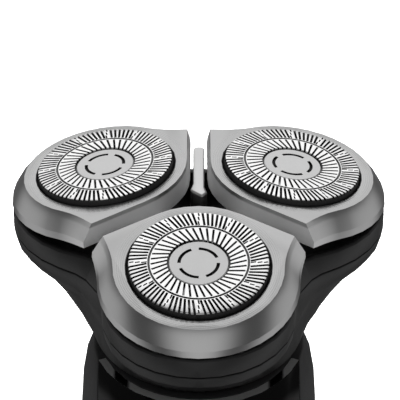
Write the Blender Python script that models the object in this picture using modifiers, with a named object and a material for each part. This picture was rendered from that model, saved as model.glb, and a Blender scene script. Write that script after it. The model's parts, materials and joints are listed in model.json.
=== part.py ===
"""Rotary electric shaver with three petal-shaped cutter heads on an upright handle.

Units are metres and +Z is up. The origin is the centre of the base, the front faces -Y.
The head has its own frame, tilted forward, whose Z axis is the head's normal; each petal has
a frame of its own inside it: x points away from the head's centre and z along the cutter's axis.
"""

import math

import bmesh
import bpy
from mathutils import Matrix, Vector

MM = 0.001
GAP = 0.3 * MM                     # clearance between neighbouring pieces

# Head placement
HEAD_TILT = math.radians(30.0)     # the head's normal leans this far forward
BALL_HEIGHT = 127.35 * MM          # the motor shaft's ball, where handle axis and head axis meet
BALL_DEPTH = 25.0 * MM             # from the plane of the cutters down to that ball
AZIMUTHS = {"front": -90.0, "right": 30.0, "left": 150.0}
VALLEYS = {"front_right": -30.0, "rear": 90.0, "front_left": 210.0}

# Gears
MODULE = 0.79 * MM
PINION_TEETH = 16
GEAR_TEETH = 28
GEAR_DISTANCE = MODULE * (PINION_TEETH + GEAR_TEETH) / 2
ROOT_HALF = 0.68 * MM              # half thickness of a tooth, thinned for backlash
TIP_HALF = 0.24 * MM

# Cutter units: depths are below the guard's top, measured along the cutter's own axis
PETAL_TILT = math.radians(8.76)    # outer edge lower
COUPLER_DEPTH = 4.55 * MM          # centre of the coupler's ball
CUTTER_DISTANCE = GEAR_DISTANCE + COUPLER_DEPTH * math.sin(PETAL_TILT)
GUARD_R = 11.35 * MM
GUARD_TOP = 0.5 * MM
GUARD_WALL = 0.8 * MM
GUARD_H = 2.9 * MM
FLANGE_R = 12.2 * MM
FLANGE_T = 0.6 * MM
BLADE_H = 1.6 * MM
DISC_T = 0.7 * MM
HUB_R = 2.3 * MM
HUB_END = 5.2 * MM
SOCKET_R = 1.45 * MM
BLADES = 9
RETAINER_R = 12.4 * MM
RETAINER_T = 0.7 * MM

# Petal
FACE_DROP = 1.0 * MM               # the guard stands this far above the petal's face
FACE_R = 13.8 * MM
CREASE_R = 16.1 * MM
RIM_R = 16.4 * MM
CREASE_DROP = 3.75 * MM
RIM_DROP = 4.85 * MM
PETAL_WALL = 1.0 * MM
FLANK_BULGE = 0.2 * MM             # the flank is slightly convex between face and crease
GROOVE_TOP = 1.87 * MM             # half the groove between two petals, at the face
GROOVE_LOW = 1.3 * MM
EDGE_RUN = 10.0 * MM               # straight edge along a groove, from tangent point to corner
PIN_X = 12.8 * MM
PIN_DROP = 5.2 * MM
PIN_R = 0.45 * MM
EAR_IN = 6.0 * MM
EAR_OUT = 7.1 * MM
BLOCK_HALF = 3.4 * MM

# Spine ribs in the grooves
RIB_HALF = 0.92 * MM
RIB_TIP_HALF = 1.45 * MM
RIB_START = 3.4 * MM
RIB_END = 17.8 * MM
RIB_TOP = -2.6 * MM
RIB_BOTTOM = -6.9 * MM

# Head housing, heights in the head frame
LOBE_R = 15.6 * MM
VALLEY_TOP = 18.6 * MM
VALLEY_SEAM = 20.2 * MM
FRAME_TOP = -7.75 * MM
FRAME_EDGE = 0.8 * MM              # the frame's wall is thinner at its top, clear of the petals' ears
SEAM = -11.1 * MM
NECK = -27.0 * MM
NECK_R = 17.7 * MM
HOUSING_WALL = 1.4 * MM
ARM_HALF = 1.0 * MM
ARM_T = 1.8 * MM
HUB_PLATE_R = 4.6 * MM

# Gear box, heights in the head frame
FLOOR_TOP = -12.2 * MM
FLOOR_T = 1.0 * MM
GEAR_TOP = -13.7 * MM
GEAR_T = 1.8 * MM
TRAY_TOP = -16.0 * MM
AXLE_R = 1.1 * MM
COUPLER_R = 2.1 * MM
COUPLER_LOW = -9.6 * MM
COUPLER_SHOULDER = -6.1 * MM
COUPLER_TRAVEL = 1.3 * MM
COUPLER_BALL_R = 0.95 * MM
SCREW_DISTANCE = 14.0 * MM
GEAR_SCREW_R = 0.6 * MM
GEAR_SCREW_HOLE = 0.9 * MM
GEAR_HUB_R = 2.4 * MM
PINION_SHAFT_R = 2.0 * MM
BUSH_R = 3.4 * MM
BUSH_L = 2.4 * MM

# Drive
SHAFT_R = 1.0 * MM
BALL_R = 2.2 * MM
CUP_R = 3.6 * MM
COLLAR_FLANGE = 0.8 * MM
COLLAR_R = 16.6 * MM

# Handle: half width and half depth by height, squareness of the outline, slope towards the neck
NECK_SLOPE = math.tan(HEAD_TILT)
SHELL_WALL = 1.6 * MM
PANEL_T = 1.3 * MM
PANEL_HALF = 16.9 * MM
BASE_T = 2.4 * MM
PLUG_TOP = 7.0 * MM
GRIP_LOW = 18.0 * MM
GRIP_HIGH = 98.0 * MM
GRIP_ARC = math.radians(38.0)
BUTTON_HEIGHT = 88.0 * MM
BUTTON_R = 6.5 * MM
BUTTON_T = 1.3 * MM
STEM_R = 2.0 * MM
RING_R = 8.0 * MM
LENS_HEIGHT = 70.0 * MM
LENS_HALF = 1.3 * MM
LENS_RUN = 3.4 * MM

# Inside the handle
MOTOR_R = 9.5 * MM
MOTOR_LOW = 80.0 * MM
MOTOR_HIGH = 111.0 * MM
ROTOR_R = 6.4 * MM
BATTERY_R = 7.1 * MM
BATTERY_LOW = 10.0 * MM
BATTERY_L = 50.0 * MM
BATTERY_Y = 1.5 * MM
SPINE_Y = 9.8 * MM
CHASSIS_T = 1.4 * MM
CHASSIS_HALF = 10.0 * MM
SEAL_R = 3.6 * MM
BOARD_Y = -12.1 * MM
BOARD_T = 1.0 * MM
BOARD_HALF = 8.0 * MM
SOCKET_Y = 8.0 * MM
SOCKET_SIZE = Vector((11.0, 6.4, 7.0)) * MM
SLOT_SIZE = Vector((9.0, 3.3, 6.0)) * MM
SCREW_X = 11.5 * MM
SCREW_HEAD_R = 2.0 * MM
SCREW_R = 1.0 * MM
SCREW_SEAT = 1.9 * MM

for old in list(bpy.data.objects):
    bpy.data.objects.remove(old)
parts = bpy.data.collections.new("rotary_shaver")
cutters = bpy.data.collections.new("cutters")
bpy.context.scene.collection.children.link(parts)
bpy.context.scene.collection.children.link(cutters)


# ---------------------------------------------------------------- materials

def make_material(name, colour, roughness, metallic=0.0):
    material = bpy.data.materials.new(name)
    material.use_nodes = True
    shader = material.node_tree.nodes["Principled BSDF"]
    shader.inputs["Base Color"].default_value = (*colour, 1.0)
    shader.inputs["Roughness"].default_value = roughness
    shader.inputs["Metallic"].default_value = metallic
    return material


PETAL_STEEL = make_material("satin_petal_steel", (0.46, 0.46, 0.46), 0.32, 1.0)
GUARD_STEEL = make_material("polished_guard_steel", (0.82, 0.82, 0.82), 0.16, 1.0)
BLADE_STEEL = make_material("blade_steel", (0.62, 0.62, 0.63), 0.25, 1.0)
DARK_PLASTIC = make_material("dark_housing_plastic", (0.022, 0.022, 0.023), 0.42)
GLOSS_PLASTIC = make_material("black_gloss_plastic", (0.004, 0.004, 0.005), 0.06)
MATTE_PLASTIC = make_material("dark_grey_matte_plastic", (0.04, 0.04, 0.042), 0.5)
RUBBER = make_material("black_rubber", (0.012, 0.012, 0.013), 0.8)
WHITE_PLASTIC = make_material("white_acetal", (0.72, 0.72, 0.7), 0.45)
GREY_PLASTIC = make_material("grey_chassis_plastic", (0.2, 0.2, 0.21), 0.55)
CHROME = make_material("chrome", (0.7, 0.7, 0.71), 0.1, 1.0)
BRASS = make_material("brass", (0.62, 0.46, 0.2), 0.3, 1.0)
COPPER = make_material("copper_winding", (0.6, 0.24, 0.1), 0.35, 1.0)
BOARD_GREEN = make_material("circuit_board_green", (0.02, 0.16, 0.06), 0.5)
CELL_WRAP = make_material("battery_wrap", (0.02, 0.12, 0.35), 0.4)
LENS = make_material("smoked_lens", (0.05, 0.07, 0.09), 0.1)


# ---------------------------------------------------------------- building blocks

def add_empty(name, parent, location, rotation=(0.0, 0.0, 0.0)):
    empty = bpy.data.objects.new(name, None)
    empty.empty_display_size = 5 * MM
    empty.parent = parent
    empty.location = location
    empty.rotation_euler = rotation
    parts.objects.link(empty)
    return empty


def add_object(name, mesh, material, parent=None, location=(0.0, 0.0, 0.0), spin=0.0):
    part = bpy.data.objects.new(name, mesh)
    part.parent = parent
    part.location = location
    part.rotation_euler = (0.0, 0.0, spin)
    mesh.materials.clear()
    mesh.materials.append(material)
    parts.objects.link(part)
    return part


def finish_mesh(name, shape):
    """Turn a bmesh into a smooth-shaded mesh with its normals out."""
    bmesh.ops.recalc_face_normals(shape, faces=shape.faces)
    mesh = bpy.data.meshes.new(name)
    shape.to_mesh(mesh)
    shape.free()
    mesh.shade_smooth()
    mesh.set_sharp_from_angle(angle=math.radians(30))
    return mesh


def loft_mesh(name, rings, joined=False):
    """Skin through rings of equal length; joined closes the last ring to the first."""
    shape = bmesh.new()
    loops = [[shape.verts.new(point) for point in ring] for ring in rings]
    count = len(loops[0])
    pairs = list(zip(loops, loops[1:]))
    if joined:
        pairs.append((loops[-1], loops[0]))
    else:
        shape.faces.new(loops[0])
        shape.faces.new(loops[-1])
    for one, two in pairs:
        for i in range(count):
            j = (i + 1) % count
            shape.faces.new((one[i], one[j], two[j], two[i]))
    return finish_mesh(name, shape)


def turned(name, profile, material, steps=32, parent=None, location=(0.0, 0.0, 0.0), closed=False):
    """A turned piece from (radius, height) points that run down its outer side."""
    mesh = bpy.data.meshes.new(name)
    count = len(profile)
    edges = [(i, i + 1) for i in range(count - 1)]
    if closed:
        edges.append((count - 1, 0))
    mesh.from_pydata([(r, 0.0, z) for r, z in profile], edges, [])
    part = add_object(name, mesh, material, parent, location)
    screw = part.modifiers.new("turn", "SCREW")
    screw.steps = steps
    screw.render_steps = steps
    screw.use_merge_vertices = True
    screw.merge_threshold = 0.00001
    screw.use_smooth_shade = True
    return part


def ring_profile(inner, outer, top, bottom):
    return [(outer, top), (outer, bottom), (inner, bottom), (inner, top)]


def plate_mesh(name, outlines, low, high):
    """A flat piece from closed outlines, holes included, between two heights."""
    curve = bpy.data.curves.new(name, "CURVE")
    curve.dimensions = "2D"
    curve.fill_mode = "BOTH"
    curve.extrude = (high - low) / 2
    for outline in outlines:
        spline = curve.splines.new("POLY")
        spline.points.add(len(outline) - 1)
        spline.use_cyclic_u = True
        for point, (x, y) in zip(spline.points, outline):
            point.co = (x, y, 0.0, 1.0)
    guide = bpy.data.objects.new(name, curve)
    cutters.objects.link(guide)
    bpy.context.view_layer.update()
    mesh = bpy.data.meshes.new_from_object(guide.evaluated_get(bpy.context.evaluated_depsgraph_get()))
    bpy.data.objects.remove(guide)
    shape = bmesh.new()
    shape.from_mesh(mesh)
    bmesh.ops.remove_doubles(shape, verts=shape.verts, dist=0.000001)
    bmesh.ops.translate(shape, verts=shape.verts, vec=(0.0, 0.0, (low + high) / 2))
    return finish_mesh(name, shape)


def box_mesh(name, low, high):
    shape = bmesh.new()
    bmesh.ops.create_cube(shape, size=1.0)
    size = Vector(high) - Vector(low)
    bmesh.ops.scale(shape, vec=size, verts=shape.verts)
    bmesh.ops.translate(shape, vec=(Vector(high) + Vector(low)) / 2, verts=shape.verts)
    return finish_mesh(name, shape)


def rod_mesh(name, radius, start, end, sides=20):
    """A plain cylinder between two points."""
    shape = bmesh.new()
    way = Vector(end) - Vector(start)
    turn = way.to_track_quat("Z", "Y").to_matrix().to_4x4()
    place = Matrix.Translation((Vector(start) + Vector(end)) / 2) @ turn
    bmesh.ops.create_cone(shape, cap_ends=True, segments=sides, radius1=radius, radius2=radius,
                          depth=way.length, matrix=place)
    return finish_mesh(name, shape)


def combine(part, mesh, operation):
    """Cut or join a helper mesh, given in the part's own frame."""
    helper = bpy.data.objects.new(mesh.name, mesh)
    helper.parent = part
    helper.hide_render = True
    helper.display_type = "WIRE"
    cutters.objects.link(helper)
    step = part.modifiers.new(mesh.name, "BOOLEAN")
    step.operation = operation
    step.object = helper
    step.solver = "EXACT"


def circle(radius, count, centre=(0.0, 0.0), start=0.0, end=360.0):
    """Points on a circle, or on an arc when start and end are given in degrees."""
    whole = abs(end - start - 360.0) < 1e-6
    steps = count if whole else count - 1
    angles = [math.radians(start + (end - start) * i / steps) for i in range(count)]
    return [(centre[0] + radius * math.cos(a), centre[1] + radius * math.sin(a)) for a in angles]


def at_height(outline, height):
    return [(x, y, height) for x, y in outline]


# ---------------------------------------------------------------- frames

head_normal = Vector((0.0, -math.sin(HEAD_TILT), math.cos(HEAD_TILT)))
head_place = Vector((0.0, 0.0, BALL_HEIGHT)) + BALL_DEPTH * head_normal
head = add_empty("head_axis", None, head_place, (HEAD_TILT, 0.0, 0.0))
handle = add_empty("handle_axis", None, (0.0, 0.0, 0.0))


def radial(azimuth, distance, height):
    angle = math.radians(azimuth)
    return Vector((distance * math.cos(angle), distance * math.sin(angle), height))


def cutter_axis(side):
    """An empty at the centre of a guard's top, x outward and z along the cutter's axis."""
    azimuth = AZIMUTHS[side]
    place = radial(azimuth, CUTTER_DISTANCE, 0.0)
    return add_empty("cutter_axis_" + side, head, place, (0.0, PETAL_TILT, math.radians(azimuth)))


# ---------------------------------------------------------------- cutter units

def petal_outline(outer, inner, run):
    """Round at the outside, straight along both grooves, with a corner where they meet."""
    half = circle(outer, 11, start=0.0, end=91.0)
    way = Vector((math.cos(math.radians(60)), math.sin(math.radians(60))))
    tangent = Vector((-way.y, way.x)) * inner
    corner = tangent + way * run
    begin = Vector(half[-1])
    bend = Vector((corner.x * 0.42, outer + 0.1 * MM))
    for i in range(1, 4):
        t = i / 4
        half.append(tuple(begin * (1 - t) ** 2 + bend * 2 * t * (1 - t) + corner * t ** 2))
    for i in range(3):
        half.append(tuple(corner.lerp(tangent, i / 3)))
    half += circle(inner, 4, start=150.0, end=180.0)
    return half + [(x, -y) for x, y in reversed(half[1:-1])]


def follow_circle(outline, radius):
    """A circle with one point in the direction of each point of an outline."""
    return [(radius * x / math.hypot(x, y), radius * y / math.hypot(x, y)) for x, y in outline]


def petal_mesh():
    # the petal leans outward, so its lower edges lie nearer to the grooves by this much per depth
    lean = math.sin(PETAL_TILT) * math.sin(math.radians(60))
    wall_line = CUTTER_DISTANCE * math.sin(math.radians(60))
    face_in = wall_line - GROOVE_TOP - FACE_DROP * lean
    low_in = wall_line - GROOVE_LOW - RIM_DROP * lean
    middle_in = (face_in + low_in) / 2
    flank_r = (FACE_R + CREASE_R) / 2 + FLANK_BULGE
    flank_drop = (FACE_DROP + CREASE_DROP) / 2
    face = petal_outline(FACE_R, face_in, EDGE_RUN)
    flank = petal_outline(flank_r, middle_in, EDGE_RUN + 1.0 * MM)
    crease = petal_outline(CREASE_R, low_in, EDGE_RUN + 2.0 * MM)
    rim = petal_outline(RIM_R, low_in, EDGE_RUN + 2.1 * MM)
    rim_in = petal_outline(RIM_R - PETAL_WALL, low_in - PETAL_WALL, EDGE_RUN)
    crease_in = petal_outline(CREASE_R - PETAL_WALL, low_in - PETAL_WALL, EDGE_RUN)
    under = petal_outline(FACE_R - PETAL_WALL, face_in - PETAL_WALL, EDGE_RUN - 1.2 * MM)
    hole = follow_circle(face, GUARD_R + GAP)
    rings = [
        at_height(hole, -FACE_DROP - PETAL_WALL),
        at_height(hole, -FACE_DROP - 0.2 * MM),
        at_height(follow_circle(face, GUARD_R + GAP + 0.2 * MM), -FACE_DROP),
        at_height(face, -FACE_DROP),
        at_height(flank, -flank_drop),
        at_height(crease, -CREASE_DROP),
        at_height(rim, -RIM_DROP),
        at_height(rim_in, -RIM_DROP),
        at_height(crease_in, -CREASE_DROP),
        at_height(under, -FACE_DROP - PETAL_WALL),
    ]
    return loft_mesh("petal", rings, joined=True)


def make_petal(side, pivot, mesh):
    offset = (-PIN_X, 0.0, PIN_DROP)
    part = add_object("petal_" + side, mesh, PETAL_STEEL, pivot, offset)
    for sign in (-1, 1):
        ends = sorted((sign * EAR_IN, sign * EAR_OUT))
        low = (PIN_X - 0.9 * MM, ends[0], -PIN_DROP - 0.7 * MM)
        high = (PIN_X + 0.9 * MM, ends[1], -CREASE_DROP + 0.9 * MM)
        combine(part, box_mesh(f"petal_ear_{side}_{sign}", low, high), "UNION")
    reach = EAR_OUT + 1.0 * MM
    bore = rod_mesh("petal_bore_" + side, PIN_R + 0.1 * MM, (PIN_X, -reach, -PIN_DROP),
                    (PIN_X, reach, -PIN_DROP), 16)
    combine(part, bore, "DIFFERENCE")


def make_guard(side, pivot):
    groove_in = 7.84 * MM
    groove_out = 8.23 * MM
    groove = 0.25 * MM
    profile = [
        (0.0, 0.0), (groove_in, 0.0), (groove_in, -groove), (groove_out, -groove), (groove_out, 0.0),
        (GUARD_R - 0.4 * MM, 0.0), (GUARD_R, -0.4 * MM), (GUARD_R, -GUARD_H + FLANGE_T),
        (FLANGE_R, -GUARD_H + FLANGE_T), (FLANGE_R, -GUARD_H), (GUARD_R - GUARD_WALL, -GUARD_H),
        (GUARD_R - GUARD_WALL, -GUARD_TOP), (0.0, -GUARD_TOP),
    ]
    turned("guard_" + side, profile, GUARD_STEEL, 26, pivot, (-PIN_X, 0.0, PIN_DROP))


def blade_ring_mesh(disc_top, blade_top, outer):
    """Two rows of upright blades that stand on the cutter's disc."""
    shape = bmesh.new()
    for start, end, shift in ((7.9 * MM, outer, 0.0), (4.9 * MM, 7.5 * MM, 0.5)):
        for i in range(BLADES):
            cube = bmesh.ops.create_cube(shape, size=1.0)
            size = (end - start, 0.8 * MM, blade_top - disc_top + 0.2 * MM)
            bmesh.ops.scale(shape, vec=size, verts=cube["verts"])
            centre = ((start + end) / 2, 0.0, (blade_top + disc_top - 0.2 * MM) / 2)
            bmesh.ops.translate(shape, vec=centre, verts=cube["verts"])
            turn = Matrix.Rotation(math.tau * (i + shift) / BLADES, 3, "Z")
            bmesh.ops.rotate(shape, matrix=turn, verts=cube["verts"])
    return finish_mesh("blade_ring", shape)


def make_cutter(side, axis):
    blade_top = -GUARD_TOP - GAP
    disc_top = blade_top - BLADE_H
    outer = GUARD_R - GUARD_WALL - GAP
    profile = [
        (0.0, disc_top), (outer, disc_top), (outer, disc_top - DISC_T), (HUB_R, disc_top - DISC_T),
        (HUB_R, -HUB_END), (SOCKET_R, -HUB_END), (SOCKET_R, -COUPLER_DEPTH + COUPLER_BALL_R + GAP),
        (0.0, -COUPLER_DEPTH + COUPLER_BALL_R + GAP),
    ]
    part = turned("cutter_" + side, profile, BLADE_STEEL, 16, axis)
    combine(part, blade_ring_mesh(disc_top, blade_top, outer - 0.2 * MM), "UNION")


def retainer_mesh():
    """The ring that carries guard and cutter: three spokes around the cutter's hub."""
    top = -GUARD_H - GAP - 0.2 * MM
    outlines = [circle(RETAINER_R, 24), circle(HUB_R + GAP, 12)]
    for i in range(3):
        outer = circle(RETAINER_R - 1.6 * MM, 7, start=i * 120.0 + 7.0, end=i * 120.0 + 113.0)
        inner = circle(HUB_R + GAP + 1.1 * MM, 4, start=i * 120.0 + 95.0, end=i * 120.0 + 25.0)
        outlines.append(outer + inner)
    return plate_mesh("retainer", outlines, top - RETAINER_T, top)


def make_retainer(side, pivot, mesh):
    add_object("retainer_" + side, mesh, WHITE_PLASTIC, pivot, (-PIN_X, 0.0, PIN_DROP))


def make_cutter_units():
    shared_petal = petal_mesh()
    shared_retainer = retainer_mesh()
    for side in AZIMUTHS:
        axis = cutter_axis(side)
        pivot = add_empty("petal_pivot_" + side, axis, (PIN_X, 0.0, -PIN_DROP))
        make_petal(side, pivot, shared_petal)
        make_guard(side, pivot)
        make_retainer(side, pivot, shared_retainer)
        make_cutter(side, axis)
        reach = EAR_OUT
        pin = rod_mesh("pin_" + side, PIN_R, (0.0, -reach, 0.0), (0.0, reach, 0.0), 16)
        add_object("petal_pin_" + side, pin, CHROME, pivot)


# ---------------------------------------------------------------- head housing

def lobed_outline(lobe, distance, valley, count=60):
    """Three round lobes that blend into round valleys."""
    blend = 12
    points = []
    for i in range(count):
        angle = math.tau * i / count
        away = math.radians((math.degrees(angle) - AZIMUTHS["right"] + 60.0) % 120.0 - 60.0)
        side = distance * math.sin(away)
        arm = distance * math.cos(away) + math.sqrt(max(0.0, lobe * lobe - side * side))
        radius = (arm ** blend + valley ** blend) ** (1 / blend)
        points.append((radius * math.cos(angle), radius * math.sin(angle)))
    return points


def spider_outline():
    """A round hub with an arm under each groove."""
    reach = VALLEY_TOP - HOUSING_WALL / 2
    shoulder = math.degrees(math.asin(ARM_HALF / HUB_PLATE_R))
    points = []
    for azimuth in VALLEYS.values():
        turn = Matrix.Rotation(math.radians(azimuth), 2)
        points += [tuple(turn @ Vector((reach, side))) for side in (-ARM_HALF, ARM_HALF)]
        points += circle(HUB_PLATE_R, 7, start=azimuth + shoulder, end=azimuth + 120.0 - shoulder)
    return points


def make_head_frame():
    wall = HOUSING_WALL
    top = (LOBE_R, CUTTER_DISTANCE, VALLEY_TOP)
    seam = (LOBE_R, CUTTER_DISTANCE, VALLEY_SEAM)
    rings = [
        at_height(lobed_outline(top[0] - 0.3 * MM, top[1], top[2] - 0.3 * MM), FRAME_TOP),
        at_height(lobed_outline(*top), FRAME_TOP - 0.3 * MM),
        at_height(lobed_outline(*seam), SEAM),
        at_height(lobed_outline(seam[0] - wall, seam[1], seam[2] - wall), SEAM),
        at_height(lobed_outline(top[0] - FRAME_EDGE, top[1], top[2] - wall), FRAME_TOP),
    ]
    part = add_object("head_frame", loft_mesh("head_frame", rings, joined=True), DARK_PLASTIC, head)
    arm_top = RIB_BOTTOM - GAP
    spider = plate_mesh("frame_spider", [spider_outline()], arm_top - ARM_T, arm_top)
    combine(part, spider, "UNION")
    for side, azimuth in AZIMUTHS.items():
        turn = Matrix.Rotation(math.radians(azimuth), 4, "Z")
        place = turn @ Matrix.Translation((CUTTER_DISTANCE, 0.0, 0.0))
        place = place @ Matrix.Rotation(PETAL_TILT, 4, "Y")
        block = box_mesh("pin_block_" + side, (PIN_X - 0.9 * MM, -BLOCK_HALF, -PIN_DROP - 3.2 * MM),
                         (PIN_X + 1.0 * MM, BLOCK_HALF, -PIN_DROP + 0.8 * MM))
        block.transform(place)
        combine(part, block, "UNION")
        foot = box_mesh("block_foot_" + side, (PIN_X, -BLOCK_HALF + GAP, -PIN_DROP - 2.9 * MM),
                        (PIN_X + 3.5 * MM, BLOCK_HALF - GAP, -PIN_DROP - 1.9 * MM))
        foot.transform(place)
        combine(part, foot, "UNION")
        bore = rod_mesh("frame_bore_" + side, PIN_R + 0.1 * MM, (PIN_X, -EAR_OUT, -PIN_DROP),
                        (PIN_X, EAR_OUT, -PIN_DROP), 16)
        bore.transform(place)
        combine(part, bore, "DIFFERENCE")


def make_ribs():
    """Three metal ribs in the grooves, each with a slanted, wider inner end."""
    for name, azimuth in VALLEYS.items():
        flare = RIB_START + 1.2 * MM
        outline = [
            (RIB_START, -RIB_TIP_HALF * 0.4), (flare, -RIB_TIP_HALF), (flare + 1.8 * MM, -RIB_HALF),
            (RIB_END - 0.5 * MM, -RIB_HALF), (RIB_END, -RIB_HALF * 0.5), (RIB_END, RIB_HALF * 0.5),
            (RIB_END - 0.5 * MM, RIB_HALF), (flare + 2.6 * MM, RIB_HALF), (flare + 0.5 * MM, RIB_TIP_HALF),
        ]
        mesh = plate_mesh("rib_" + name, [outline], RIB_BOTTOM, RIB_TOP)
        part = add_object("rib_" + name, mesh, PETAL_STEEL, head, spin=math.radians(azimuth))
        bevel = part.modifiers.new("edges", "BEVEL")
        bevel.width = 0.25 * MM
        bevel.segments = 1
        bevel.angle_limit = math.radians(60)


FUNNEL = [                         # height, lobe radius, lobe distance, valley radius
    (SEAM - GAP, LOBE_R, CUTTER_DISTANCE, VALLEY_SEAM),
    (-13.5 * MM, 15.3 * MM, 18.0 * MM, 20.3 * MM),
    (-15.5 * MM, 14.2 * MM, 17.3 * MM, 20.1 * MM),
    (-17.5 * MM, 12.9 * MM, 16.0 * MM, 19.4 * MM),
    (-20.0 * MM, 12.4 * MM, 13.5 * MM, 18.5 * MM),
    (-23.0 * MM, 13.2 * MM, 9.1 * MM, 17.2 * MM),
    (NECK, NECK_R, 0.0, 12.0 * MM),
]


def make_head_base():
    wall = HOUSING_WALL
    outer = [at_height(lobed_outline(*size), height) for height, *size in FUNNEL]
    inner = []
    for height, lobe, distance, valley in FUNNEL:
        inset = lobed_outline(lobe - wall, distance, valley - wall)
        inner.append(at_height(inset, max(height, NECK + wall)))
    drain = at_height(follow_circle(lobed_outline(*FUNNEL[-1][1:]), 9.0 * MM), NECK + wall)
    mouth = at_height(follow_circle(lobed_outline(*FUNNEL[-1][1:]), 9.0 * MM), NECK)
    rings = outer + [mouth, drain] + list(reversed(inner))
    add_object("head_base", loft_mesh("head_base", rings, joined=True), DARK_PLASTIC, head)


# ---------------------------------------------------------------- gear box

def inside_housing(height):
    """The lobed outline that fits inside the head's base at a height, with a gap."""
    for upper, lower in zip(FUNNEL, FUNNEL[1:]):
        if upper[0] >= height >= lower[0]:
            share = (upper[0] - height) / (upper[0] - lower[0])
            lobe, distance, valley = (a + (b - a) * share for a, b in zip(upper[1:], lower[1:]))
    inset = HOUSING_WALL + 2 * GAP
    return lobed_outline(lobe - inset, distance, valley - inset, 42)


def make_gear_plates():
    """The hair chamber's floor above the gears and the tray below them."""
    axles = [radial(a, GEAR_DISTANCE, 0.0)[:2] for a in AZIMUTHS.values()]
    screws = [radial(a, SCREW_DISTANCE, 0.0)[:2] for a in VALLEYS.values()]
    floor = [inside_housing(FLOOR_TOP - FLOOR_T), circle(AXLE_R + 0.7 * MM, 12)]
    floor += [circle(COUPLER_R + GAP, 16, centre) for centre in axles]
    floor += [circle(GEAR_SCREW_HOLE, 10, centre) for centre in screws]
    mesh = plate_mesh("chamber_floor", floor, FLOOR_TOP - FLOOR_T, FLOOR_TOP)
    add_object("chamber_floor", mesh, DARK_PLASTIC, head)
    tray = [inside_housing(TRAY_TOP - FLOOR_T), circle(PINION_SHAFT_R + GAP, 16)]
    tray += [circle(AXLE_R + 0.15 * MM, 12, centre) for centre in axles]
    tray += [circle(GEAR_SCREW_HOLE, 10, centre) for centre in screws]
    mesh = plate_mesh("gear_tray", tray, TRAY_TOP - FLOOR_T, TRAY_TOP)
    add_object("gear_tray", mesh, GREY_PLASTIC, head)
    for name, azimuth in VALLEYS.items():
        low = TRAY_TOP - FLOOR_T - 0.6 * MM
        profile = [(0.0, FLOOR_TOP + 1.1 * MM), (1.2 * MM, FLOOR_TOP + 1.1 * MM), (1.5 * MM, FLOOR_TOP + GAP),
                   (GEAR_SCREW_R, FLOOR_TOP + GAP), (GEAR_SCREW_R, low), (0.0, low)]
        turned("gear_screw_" + name, profile, CHROME, 12, head, radial(azimuth, SCREW_DISTANCE, 0.0))


def gear_outline(teeth):
    pitch = MODULE * teeth / 2
    tip = pitch + 0.75 * MODULE
    root = pitch - 1.1 * MODULE
    points = []
    for i in range(teeth):
        middle = math.tau * i / teeth
        for radius, offset in ((root, -ROOT_HALF), (tip, -TIP_HALF), (tip, TIP_HALF), (root, ROOT_HALF)):
            angle = middle + offset / radius
            points.append((radius * math.cos(angle), radius * math.sin(angle)))
    return points


def make_gears():
    gear_low = GEAR_TOP - GEAR_T
    gear = plate_mesh("driven_gear", [gear_outline(GEAR_TEETH)], gear_low, GEAR_TOP)
    ratio = PINION_TEETH / 360.0
    for side, azimuth in AZIMUTHS.items():
        # the pinion has a tooth on +X; the gear's gap must meet whatever the pinion shows it
        shown = azimuth * ratio
        facing = (azimuth + 180.0) * GEAR_TEETH / 360.0
        spin = math.radians((facing - (0.5 - shown)) * 360.0 / GEAR_TEETH)
        part = add_object("driven_gear_" + side, gear.copy(), WHITE_PLASTIC, head,
                          radial(azimuth, GEAR_DISTANCE, 0.0), spin)
        hub = rod_mesh("gear_hub_" + side, GEAR_HUB_R, (0.0, 0.0, gear_low - GAP / 2),
                       (0.0, 0.0, GEAR_TOP + 0.2 * MM), 12)
        combine(part, hub, "UNION")
        post_top = COUPLER_SHOULDER - COUPLER_TRAVEL - 2 * GAP - 0.6 * MM
        axle = rod_mesh("gear_axle_" + side, AXLE_R, (0.0, 0.0, TRAY_TOP - FLOOR_T - 0.4 * MM),
                        (0.0, 0.0, post_top), 12)
        combine(part, axle, "UNION")
        make_coupler(side, azimuth)
    make_pinion(gear_low)


def make_coupler(side, azimuth):
    """A sleeve that slides on the gear's post and turns the cutter through a small ball."""
    ball = -COUPLER_DEPTH * math.cos(PETAL_TILT)
    neck = 0.6 * MM
    bore = AXLE_R + 0.2 * MM
    bore_top = COUPLER_SHOULDER - 0.6 * MM
    arc = circle(COUPLER_BALL_R, 6, (0.0, ball), 90.0, -50.0)
    profile = arc + [(neck, COUPLER_SHOULDER), (COUPLER_R, COUPLER_SHOULDER), (COUPLER_R, COUPLER_LOW),
                     (bore, COUPLER_LOW), (bore, bore_top), (0.0, bore_top)]
    profile[0] = (0.0, ball + COUPLER_BALL_R)
    turned("drive_coupler_" + side, profile, WHITE_PLASTIC, 12, head, radial(azimuth, GEAR_DISTANCE, 0.0))


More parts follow.
